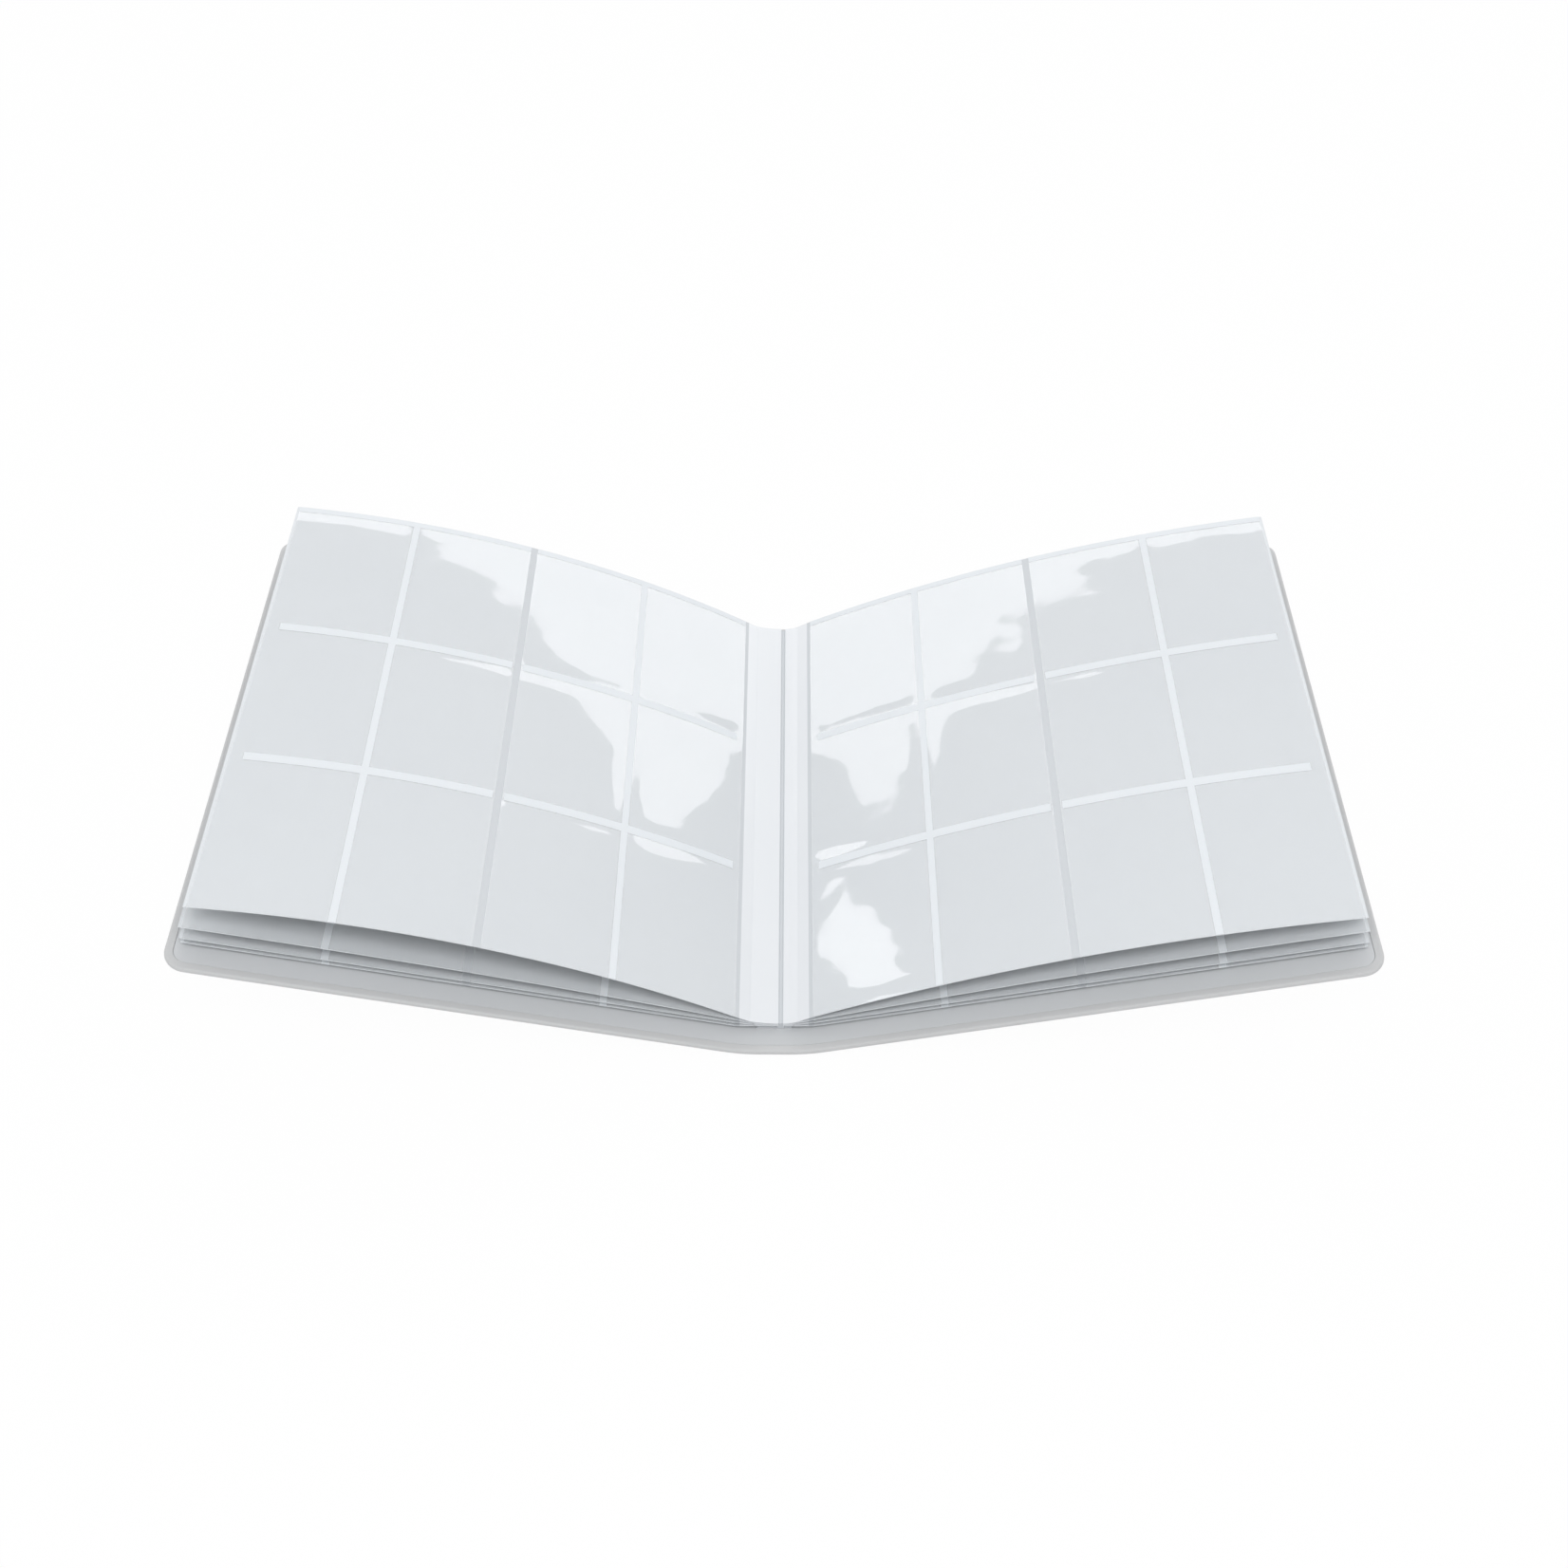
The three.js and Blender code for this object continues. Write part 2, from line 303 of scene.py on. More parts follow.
@dataclass(frozen=True)
class Finish:
    """A finish whose colour drifts a little over the surface, with a fine relief.

    Attributes:
        name: The real material, as it is called by those who make it.
        colour: The main colour, as sRGB hex.
        drift: The colour of its faintly different patches.
        drift_mm: The size of such a patch.
        roughness: From 0 for a mirror to 1.
        ior: The index of refraction.
        grain_mm: The width of one grain of the relief.
        grain_depth_mm: The depth of the relief.
        coat: How much of a clear, glossy surface lies on it.
        coat_ior: The index of refraction of that surface.
        alpha: How much of what lies behind each face is hidden.
        drift_detail: How many finer patches lie within a patch.
        grain_detail: How many finer grains lie within a grain.
    """

    name: str
    colour: str
    drift: str
    drift_mm: float
    roughness: float
    ior: float
    grain_mm: float
    grain_depth_mm: float
    coat: float = 0.0
    coat_ior: float = 1.5
    alpha: float = 1.0
    drift_detail: float = 3.0
    grain_detail: float = 2.0

    def relief(
        self, tree: bpy.types.NodeTree, place: bpy.types.NodeSocket
    ) -> bpy.types.NodeSocket:
        """Draws the height of the relief: here, an even calendered grain.

        Args:
            tree: The material's nodes.
            place: The point on the object, in metres.

        Returns:
            The height, from 0 to 1.
        """
        return self.soft_patches(tree, place, self.grain_mm, self.grain_detail)

    def soft_patches(
        self, tree: bpy.types.NodeTree, place: bpy.types.NodeSocket, size_mm: float, detail: float
    ) -> bpy.types.NodeSocket:
        """Adds soft random patches.

        Args:
            tree: The material's nodes.
            place: The point on the object, in metres.
            size_mm: The size of a patch.
            detail: How many finer patches lie within it.

        Returns:
            The patches, from 0 to 1.
        """
        patches = add_node(
            tree, "ShaderNodeTexNoise",
            inputs={"Vector": place, "Scale": 1 / (size_mm * MM), "Detail": detail},
        )
        return patches.outputs["Fac"]

    def build(self) -> bpy.types.Material:
        """Builds the material.

        Returns:
            The new material, named for the finish.
        """
        material = bpy.data.materials.new(self.name)
        material.use_nodes = True
        tree = material.node_tree
        tree.nodes.clear()
        place = add_node(tree, "ShaderNodeTexCoord").outputs["Object"]
        patches = self.soft_patches(tree, place, self.drift_mm, self.drift_detail)
        colour = add_node(
            tree, "ShaderNodeMix", {"data_type": "RGBA"},
            {0: patches, 6: linear(self.colour), 7: linear(self.drift)},
        )
        bump = add_node(
            tree, "ShaderNodeBump",
            inputs={"Height": self.relief(tree, place), "Distance": self.grain_depth_mm * MM},
        )
        shader = add_node(
            tree, "ShaderNodeBsdfPrincipled",
            inputs={
                "Base Color": colour.outputs[2], "Roughness": self.roughness, "IOR": self.ior,
                "Coat Weight": self.coat, "Coat Roughness": self.roughness,
                "Coat IOR": self.coat_ior, "Alpha": self.alpha,
                "Normal": bump.outputs["Normal"],
            },
        )
        add_node(tree, "ShaderNodeOutputMaterial", inputs={"Surface": shader.outputs["BSDF"]})
        return material


@dataclass(frozen=True)
class GrainedSkin(Finish):
    """A sheet whose roller left a pebbled, leather-like grain.

    Attributes:
        flank: How far a pebble's rounded flank reaches in from its valley, as a share of it.
    """

    flank: float = 0.35

    def relief(
        self, tree: bpy.types.NodeTree, place: bpy.types.NodeSocket
    ) -> bpy.types.NodeSocket:
        """Draws rounded pebbles with narrow valleys.

        Args:
            tree: The material's nodes.
            place: The point on the object, in metres.

        Returns:
            The height, from 0 to 1.
        """
        pebbles = add_node(
            tree, "ShaderNodeTexVoronoi", {"feature": "DISTANCE_TO_EDGE"},
            {"Vector": place, "Scale": 1 / (self.grain_mm * MM)},
        )
        rounded = add_node(
            tree, "ShaderNodeMapRange", {"interpolation_type": "SMOOTHSTEP"},
            {"Value": pebbles.outputs["Distance"], "From Max": self.flank},
        )
        return rounded.outputs["Result"]


@dataclass(frozen=True)
class WeldedLine(Finish):
    """A fused line, pressed by a bar whose face is knurled in small squares."""

    def relief(
        self, tree: bpy.types.NodeTree, place: bpy.types.NodeSocket
    ) -> bpy.types.NodeSocket:
        """Draws the rows of small squares.

        Args:
            tree: The material's nodes.
            place: The point on the object, in metres.

        Returns:
            The height, from 0 to 1.
        """
        squares = add_node(
            tree, "ShaderNodeTexVoronoi", {"feature": "F1", "distance": "CHEBYCHEV"},
            {"Vector": place, "Scale": 1 / (self.grain_mm * MM), "Randomness": 0.0},
        )
        return squares.outputs["Distance"]


# Foamed polypropylene sheet, calendered: soft, pale grey, with a satin pebble grain that reads as
# matt from a distance. The real grain is about 0.4 mm; it is drawn at 0.8 mm so that it shows.
COVER_SKIN = GrainedSkin(
    name="foamed_polypropylene_skin", colour="#cecfd0", drift="#c8c9ca", drift_mm=60,
    roughness=0.5, ior=1.49, grain_mm=0.8, grain_depth_mm=0.05,
)
# Cast polypropylene lining sheet: as pale a grey as the skin, but smoother, with a soft sheen.
COVER_LINING = Finish(
    name="cast_polypropylene_lining", colour="#cfd1d4", drift="#c9ccce", drift_mm=80,
    roughness=0.42, ior=1.49, grain_mm=0.5, grain_depth_mm=0.01,
)
# Greyboard, pressed from waste paper: dull, warm grey, with short fibres.
BOARD = Finish(
    name="pressed_greyboard", colour="#b9b3a6", drift="#a9a396", drift_mm=5,
    roughness=0.95, ior=1.45, grain_mm=0.7, grain_depth_mm=0.08,
)
# Opaque white polypropylene sheet with a matt roller finish, so that films don't cling to it.
CORE_SHEET = Finish(
    name="matt_polypropylene_sheet", colour="#e2e6e9", drift="#dde1e5", drift_mm=90,
    roughness=0.45, ior=1.49, grain_mm=0.6, grain_depth_mm=0.008,
)
# The same sheet where no film covers it, in a greyer copy of its colour: painted shade, for the
# shadow along the films' edges, the crease beside the gutter and the groove of the weld.
SHADED_BARE_SHEET = Finish(
    name="bare_polypropylene_sheet_painted_shade", colour="#d1d5d9", drift="#cdd1d5", drift_mm=60,
    roughness=0.5, ior=1.49, grain_mm=0.6, grain_depth_mm=0.008,
)
# Clear cast polypropylene film: glassy on both faces, faintly grey over white, slightly wavy.
POCKET_FILM = Finish(
    name="clear_polypropylene_film", colour="#f6f8fa", drift="#f2f5f8", drift_mm=120,
    roughness=0.04, ior=1.6, grain_mm=14, grain_depth_mm=0.02, coat=1.0, coat_ior=1.8, alpha=0.28,
)
# Fused polypropylene: film and sheet melted into one, so it is whiter than film over a gap.
FUSED_LINE = WeldedLine(
    name="fused_polypropylene_line", colour="#e7ebef", drift="#e2e7eb", drift_mm=30,
    roughness=0.5, ior=1.4, grain_mm=0.9, grain_depth_mm=0.02,
)
# The folds in the gutter: the same white sheet, pressed smooth and satin by the welding bar.
PRESSED_FOLD = Finish(
    name="pressed_polypropylene_fold", colour="#e8ebee", drift="#e3e6ea", drift_mm=70,
    roughness=0.3, ior=1.49, grain_mm=0.8, grain_depth_mm=0.01, coat=0.2,
)


# Pieces


@dataclass
class CoverBend:
    """The line that the cover follows: level on the spine, then one soft bend up to its slope.

    Attributes:
        crease: Distance from the spine's middle to the crease, in mm.
        slope_deg: The slope of an open half.
        bend_length: The length of cover that takes the bend, in mm.
        bend_steps: The steps that a blank's mesh makes over the bend.
        flat_cuts: Where it is divided beyond the bend, from the crease, in mm.
    """

    crease: float = 17.0
    slope_deg: float = 14.7
    bend_length: float = 18.0
    bend_steps: int = 16
    flat_cuts: tuple[float, ...] = (60.0, 150.0)

    @property
    def start(self) -> float:
        """Where the bend starts, from the spine's middle."""
        return self.crease - self.bend_length / 2

    @property
    def end(self) -> float:
        """Where the bend ends, measured along the cover."""
        return self.crease + self.bend_length / 2

    def place(self, side: Side) -> Placer:
        """Gives the function that bends a flat blank of one half.

        Args:
            side: The half, whose blank lies on that side of the spine.

        Returns:
            A function from a place on the flat blank to one on the open cover.
        """
        slope = math.radians(self.slope_deg)
        radius = self.bend_length / slope

        def bent(flat: Vector) -> Vector:
            """Returns where a point of the blank lies on the open cover."""
            out = abs(flat.x)
            turn = slope * min(1.0, max(0.0, (out - self.start) / self.bend_length))
            x = min(out, self.start) + radius * math.sin(turn)
            z = radius * (1 - math.cos(turn))
            beyond = max(0.0, out - self.end)
            x += beyond * math.cos(turn) - flat.z * math.sin(turn)
            z += beyond * math.sin(turn) + flat.z * math.cos(turn)
            return Vector((side.sign * x, flat.y, z))

        return bent

    def cut_lines(self) -> list[float]:
        """Returns the lines across the cover at which a blank is divided so that it can bend."""
        steps = self.bend_steps
        lines = [self.start + self.bend_length * step / steps for step in range(steps + 1)]
        return [*lines, *(self.crease + cut for cut in self.flat_cuts)]


@dataclass
class SoftCover:
    """The skin with its stiff boards and the lining sealed over them.

    Attributes:
        reach: From the crease to the outer edge, in mm.
        height: Along the spine.
        thickness: Of the whole cover.
        corner_radius: Of the outer corners.
        edge_round: Of the skin's rim.
        floor: The skin's thickness under the boards.
        rim: The width of the skin's sealed rim.
        lining: The lining's thickness.
        tuck: The gap between the lining and the rim.
        corner_segments: The facets of a corner.
        round_segments: The facets of a rounded rim.
        bend: The line that the cover follows.
    """

    reach: float = 289.0
    height: float = 314.0
    thickness: float = 3.3
    corner_radius: float = 11.0
    edge_round: float = 1.2
    floor: float = 0.8
    rim: float = 4.0
    lining: float = 0.8
    tuck: float = 0.12
    corner_segments: int = 10
    round_segments: int = 3
    bend: CoverBend = field(default_factory=CoverBend)

    def slab(self, margin: float, bottom: float, top: float) -> bmesh.types.BMesh:
        """Makes a flat slab of the whole open cover, with round corners.

        Args:
            margin: How far it stays inside the cover's outline, in mm.
            bottom: The height of its lower face.
            top: The height of its upper face.

        Returns:
            The slab, in mm.
        """
        width = 2 * (self.bend.crease + self.reach - margin)
        height = self.height - 2 * margin
        bm = bmesh.new()
        bmesh.ops.create_cube(bm, size=1.0)
        bmesh.ops.scale(bm, vec=(width, height, top - bottom), verts=bm.verts[:])
        bmesh.ops.translate(bm, vec=(0, 0, (top + bottom) / 2), verts=bm.verts[:])
        upright = [
            edge for edge in bm.edges
            if abs(edge.verts[0].co.z - edge.verts[1].co.z) > SAME_LEVEL
        ]
        bmesh.ops.bevel(
            bm, geom=upright, offset=self.corner_radius - margin, offset_type="OFFSET",
            segments=self.corner_segments, profile=0.5, affect="EDGES", material=-1,
        )
        return bm

    def soften_rim(
        self, bm: bmesh.types.BMesh, radius: float, heights: tuple[float, ...]
    ) -> None:
        """Rounds the edges of a slab that lie at the given heights.

        Args:
            bm: The slab.
            radius: The radius of the round, in mm.
            heights: Only edges at these heights are rounded.
        """
        edges = [
            edge for edge in bm.edges
            if any(
                all(abs(vert.co.z - height) < SAME_LEVEL for vert in edge.verts)
                for height in heights
            )
        ]
        bmesh.ops.bevel(
            bm, geom=edges, offset=radius, offset_type="OFFSET",
            segments=self.round_segments, profile=0.5, affect="EDGES", material=-1,
        )

    def half(self, bm: bmesh.types.BMesh, side: Side) -> None:
        """Cuts a slab of the whole cover down to one half and bends it.

        Args:
            bm: The slab.
            side: The half that stays.
        """
        cut = bmesh.ops.bisect_plane(
            bm, geom=[*bm.verts, *bm.edges, *bm.faces], dist=CUT_TOLERANCE,
            plane_co=(0, 0, 0), plane_no=(side.sign, 0, 0), clear_inner=True,
        )
        rim = [item for item in cut["geom_cut"] if isinstance(item, bmesh.types.BMEdge)]
        bmesh.ops.edgeloop_fill(bm, edges=rim)
        for line in self.bend.cut_lines():
            bmesh.ops.bisect_plane(
                bm, geom=[*bm.verts, *bm.edges, *bm.faces], dist=CUT_TOLERANCE,
                plane_co=(side.sign * line, 0, 0), plane_no=(1, 0, 0),
            )
        place_all(bm, self.bend.place(side))

    def skin(self, side: Side, material: bpy.types.Material) -> bpy.types.Object:
        """Builds one half of the skin: a shallow tray with a rounded rim.

        Args:
            side: The half.
            material: Its finish.

        Returns:
            The skin of that half, from the middle of the spine.
        """
        bm = self.slab(0, 0, self.thickness)
        self.soften_rim(bm, self.edge_round, (0, self.thickness))
        top = max(bm.faces, key=lambda face: face.calc_center_median().z)
        bmesh.ops.inset_region(
            bm, faces=[top], thickness=self.rim - self.edge_round, use_even_offset=True,
        )
        pocket = bmesh.ops.extrude_face_region(bm, geom=[top])["geom"]
        lowered = [item for item in pocket if isinstance(item, bmesh.types.BMVert)]
        bmesh.ops.translate(bm, vec=(0, 0, self.floor - self.thickness), verts=lowered)
        if top.is_valid:
            bmesh.ops.delete(bm, geom=[top], context="FACES_ONLY")
        self.half(bm, side)
        return finished_piece(f"{side.value}_soft_cover_skin", bm, [material])

    def liner(self, side: Side, material: bpy.types.Material) -> bpy.types.Object:
        """Builds one half of the lining, which lies in the skin's tray over the boards.

        Args:
            side: The half.
            material: Its finish.

        Returns:
            The lining of that half, from the middle of the spine.
        """
        bm = self.slab(self.rim + self.tuck, self.thickness - self.lining, self.thickness)
        self.soften_rim(bm, self.lining / 2, (self.thickness,))
        self.half(bm, side)
        return finished_piece(f"{side.value}_cover_lining_sheet", bm, [material])

    def build(self, lining: bpy.types.Material) -> None:
        """Builds both halves, bends them at the creases and dresses the boards.

        Args:
            lining: The finish of the lining.
        """
        skin = COVER_SKIN.build()
        board = BOARD.build()
        for side in Side:
            shell = self.skin(side, skin)
            sheet = self.liner(side, lining)
            cover = f"{side.value}_cover"
            for piece, kind in ((shell, "skin"), (sheet, "lining")):
                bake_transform(piece)
                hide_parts(f"{cover}_{kind}", f"spine_{kind}")
            self.dress(f"{cover}_board", board)
        self.dress("spine_board", board)

    def dress(self, node: str, material: bpy.types.Material) -> None:
        """Gives a CAD node that stays its finish.

        Args:
            node: The node's name.
            material: The finish.
        """
        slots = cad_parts[node].data.materials
        slots.clear()
        slots.append(material)


@dataclass
class LeafSection:
    """The line that a leaf's middle surface follows, from its fold to its outer edge.

    Distances along it count from where the leaf leaves the gutter.

    Attributes:
        inset: The X of its inner end, in mm.
        inner_level: The height of its inner end.
        level: Its height at the gutter's edge.
        slope_in: Its slope where it leaves the gutter, in degrees.
        slope_out: Its slope at the outer edge.
        gutter: Half the gutter's width.
        reach: The length of its raised part.
        bend: Half the length over which its margin bends into its raised part.
        step: The step in which the line is traced.
        trace: The traced line: the distance along it, the X and the height of each point.
    """

    inset: float
    inner_level: float
    level: float
    slope_in: float
    slope_out: float
    gutter: float = 19.7
    reach: float = 278.0
    bend: float = 3.0
    step: float = 0.5
    trace: list[tuple[float, float, float]] = field(default_factory=list)

    def __post_init__(self) -> None:
        """Traces the line in short steps."""
        along, x, z = self.start, self.inset, self.inner_level
        self.trace.append((along, x, z))
        while along < self.reach + self.step:
            slope = self.slope_at(along + self.step / 2)
            along += self.step
            x += self.step * math.cos(slope)
            z += self.step * math.sin(slope)
            self.trace.append((along, x, z))

    @property
    def start(self) -> float:
        """The distance along the line of its inner end."""
        return -math.hypot(self.gutter - self.inset, self.level - self.inner_level)

    @property
    def margin_slope(self) -> float:
        """The slope of its margin in the gutter, in radians."""
        return math.atan2(self.level - self.inner_level, self.gutter - self.inset)

    def slope_at(self, along: float) -> float:
        """Returns the slope at a distance along the line, in radians."""
        share = max(0.0, along) / self.reach
        raised = math.radians(self.slope_in + (self.slope_out - self.slope_in) * share)
        part = ease((along + self.bend) / (2 * self.bend))
        return self.margin_slope + (raised - self.margin_slope) * part

    def point(self, along: float, height: float) -> tuple[float, float]:
        """Finds a point on or off the line.

        Args:
            along: The distance along the line, in mm.
            height: The distance off it, upwards.

        Returns:
            The point's distance from the spine's middle and its height.
        """
        index = bisect_right(self.trace, (along, math.inf, math.inf)) - 1
        index = min(max(index, 0), len(self.trace) - 2)
        at, x, z = self.trace[index]
        slope = self.slope_at(along)
        beyond = along - at
        return (
            x + beyond * math.cos(slope) - height * math.sin(slope),
            z + beyond * math.sin(slope) + height * math.cos(slope),
        )


@dataclass
class PocketGrid:
    """The pockets of a page: their fused lines, open edges and the way the film stands off.

    Attributes:
        pocket_width: The width of a pocket, in mm.
        pocket_height: Its height.
        weld: The pitch that a fused line adds.
        weld_half: Half the width of the flat of a fused column line.
        row_weld_half: Half the width of the flat of a fused row line, which is wider.
        weld_slope: The distance over which the film rises beside it.
        weld_fade: The length over which a fused row ends.
        gutter_stop: How far a fused row stops short of the open edge at the gutter.
        middle_stop: How far it stops short of the open edges at the middle of the page.
        outer_stop: How far it stops short of the outer open edge.
        near_margin: The fused margin at the near edge.
        far_margin: The fused margin at the far edge.
        gutter_inset: From the gutter to the first open edge.
        edge_inset: From the last open edge to the leaf's outer edge.
        middle_break: The gap between the two films of a face.
        shift: How far the pages lie towards the far end of the cover.
        rows: Pockets one above the other.
    """

    pocket_width: float = 66.5
    pocket_height: float = 93.0
    weld: float = 3.0
    weld_half: float = 1.9
    row_weld_half: float = 2.6
    weld_slope: float = 8.0
    weld_fade: float = 1.0
    gutter_stop: float = 4.0
    middle_stop: float = 1.0
    outer_stop: float = 7.0
    near_margin: float = 2.0
    far_margin: float = 4.0
    gutter_inset: float = 0.5
    edge_inset: float = 1.5
    middle_break: float = 4.0
    shift: float = 3.4
    rows: int = 3

    @property
    def column_pitch(self) -> float:
        """From one fused column line to the next."""
        return self.pocket_width + self.weld

    @property
    def middle(self) -> float:
        """The distance of the page's middle from the gutter: two columns."""
        return 2 * self.column_pitch

    @property
    def row_pitch(self) -> float:
        """From one fused row line to the next."""
        return self.pocket_height + self.weld

    @property
    def height(self) -> float:
        """The leaf's height along the spine."""
        return self.rows * self.row_pitch + self.near_margin + self.far_margin

    @property
    def near(self) -> float:
        """The Y of the leaf's near edge."""
        return self.shift - self.height / 2

    def open_edges(self, strip: Strip) -> tuple[float, float]:
        """Returns where a film starts and ends, from the gutter."""
        if strip is Strip.INNER:
            return self.gutter_inset, self.middle - self.middle_break / 2
        return self.middle + self.middle_break / 2, 2 * self.middle - self.edge_inset

    def stops(self, strip: Strip) -> tuple[float, float]:
        """Returns how far a film's fused rows stop short of its two open edges."""
        if strip is Strip.INNER:
            return self.gutter_stop, self.middle_stop
        return self.middle_stop, self.outer_stop

    def column_weld(self, strip: Strip) -> float:
        """Returns where a film's fused column line lies, from the gutter."""
        return (2 * strip.index + 1) * self.column_pitch

    def row_welds(self) -> list[float]:
        """Returns the Y of each fused row line between pockets."""
        first = self.near + self.near_margin
        return [first + row * self.row_pitch for row in range(1, self.rows)]

    def beside(self, line: float, half: float) -> list[float]:
        """Returns the mesh lines that a fused line of a given half width needs."""
        rise = half + self.weld_slope / 2
        return [line - rise, line - half, line, line + half, line + rise]

    def columns(self, strip: Strip, longest: float) -> list[float]:
        """Returns a film's mesh lines from its inner to its outer open edge."""
        first, last = self.open_edges(strip)
        first_stop, last_stop = self.stops(strip)
        lines = [first, last, *self.beside(self.column_weld(strip), self.weld_half)]
        lines += [first + first_stop, last - last_stop]
        return filled_lines(lines, longest)

    def row_lines(self, longest: float) -> list[float]:
        """Returns a film's mesh lines from its near to its far edge."""
        far = self.near + self.height
        lines = [self.near, far]
        lines += [self.near + self.near_margin, far - self.far_margin]
        for weld in self.row_welds():
            lines += self.beside(weld, self.row_weld_half)
        return filled_lines(lines, longest)

    def clear_of(self, distance: float, half: float) -> float:
        """Returns 0 on a fused line of a given half width and 1 where the film has risen."""
        return ease((distance - half) / self.weld_slope)

    def off_rows(self, strip: Strip, along: float, y: float) -> float:
        """Returns 0 on a fused row and 1 off it or near an open edge."""
        first, last = self.open_edges(strip)
        first_stop, last_stop = self.stops(strip)
        row = min(abs(y - weld) for weld in self.row_welds())
        inside = min(along - first - first_stop, last - last_stop - along)
        held = ease(1 + inside / self.weld_fade)
        return 1 - held * (1 - self.clear_of(row, self.row_weld_half))

    def off_margins(self, y: float) -> float:
        """Returns 0 on the fused margins at both ends and 1 off them."""
        near = y - self.near - self.near_margin
        far = self.near + self.height - self.far_margin - y
        return ease(min(near, far) / self.weld_slope)

    def rise(self, strip: Strip, along: float, y: float) -> float:
        """Tells how far the film is from any fused line.

        Args:
            strip: The film.
            along: The distance from the gutter, in mm.
            y: The place along the spine.

        Returns:
            0 where it is fused, 1 where it stands off.
        """
        column = self.clear_of(abs(along - self.column_weld(strip)), self.weld_half)
        return column * self.off_rows(strip, along, y) * self.off_margins(y)

    def is_fused(self, strip: Strip, along: float, y: float) -> bool:
        """Says whether a face of the film lies on a fused line that shows."""
        first, last = self.open_edges(strip)
        first_stop, last_stop = self.stops(strip)
        on_column = abs(along - self.column_weld(strip)) < self.weld_half
        on_row = min(abs(y - weld) for weld in self.row_welds()) < self.row_weld_half
        held = first + first_stop < along < last - last_stop
        on_far_margin = y > self.near + self.height - self.far_margin
        return on_column or (on_row and held) or on_far_margin


